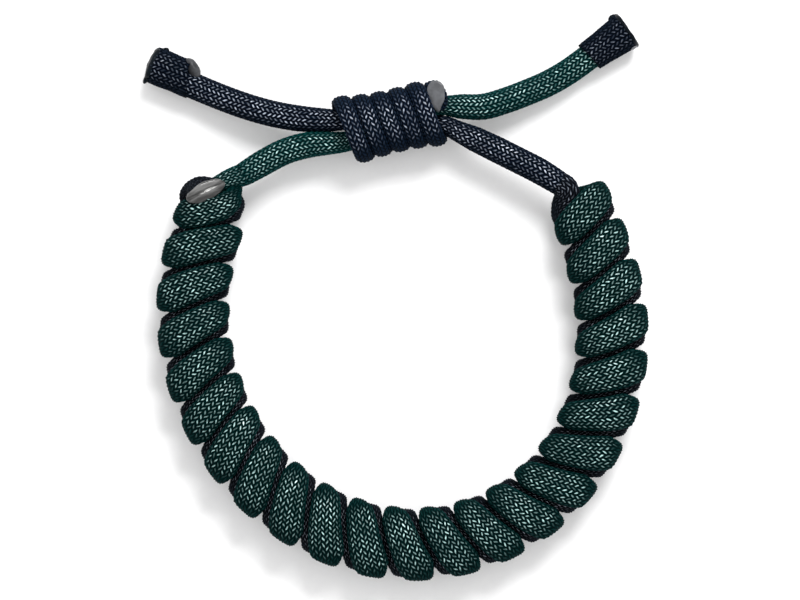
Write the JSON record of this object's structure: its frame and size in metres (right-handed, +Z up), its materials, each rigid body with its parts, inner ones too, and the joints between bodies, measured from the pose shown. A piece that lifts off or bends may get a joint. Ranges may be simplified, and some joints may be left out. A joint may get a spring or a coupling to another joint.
{
  "type": "rope bracelet",
  "caption": "Adjustable rope bracelet: two thick cords knotted into a round band, whose tails cross in a sliding knot and end in stoppers.",
  "frame": {"origin": "middle of the wrist opening, on the surface that the bracelet lies on", "axes": "+Z up out of the wrist opening, +Y towards the sliding knot, +X across the band"},
  "size_m": [0.0775, 0.0872, 0.0113],
  "materials": {
    "green_cord": "tight braid of thin glossy yarns",
    "black_cord": "tight braid of thin glossy yarns",
    "stopper_melt": "braid melted to a hard skin",
    "cut_end": "melted cord end, slightly translucent"
  },
  "bodies": {
    "root": {"green_strand": "green_cord", "black_strand": "black_cord", "green_tail": "green_cord", "black_tail": "black_cord", "slider_knot": "black_cord", "left_stopper": "stopper_melt", "right_stopper": "stopper_melt"}
  },
  "joints": []
}
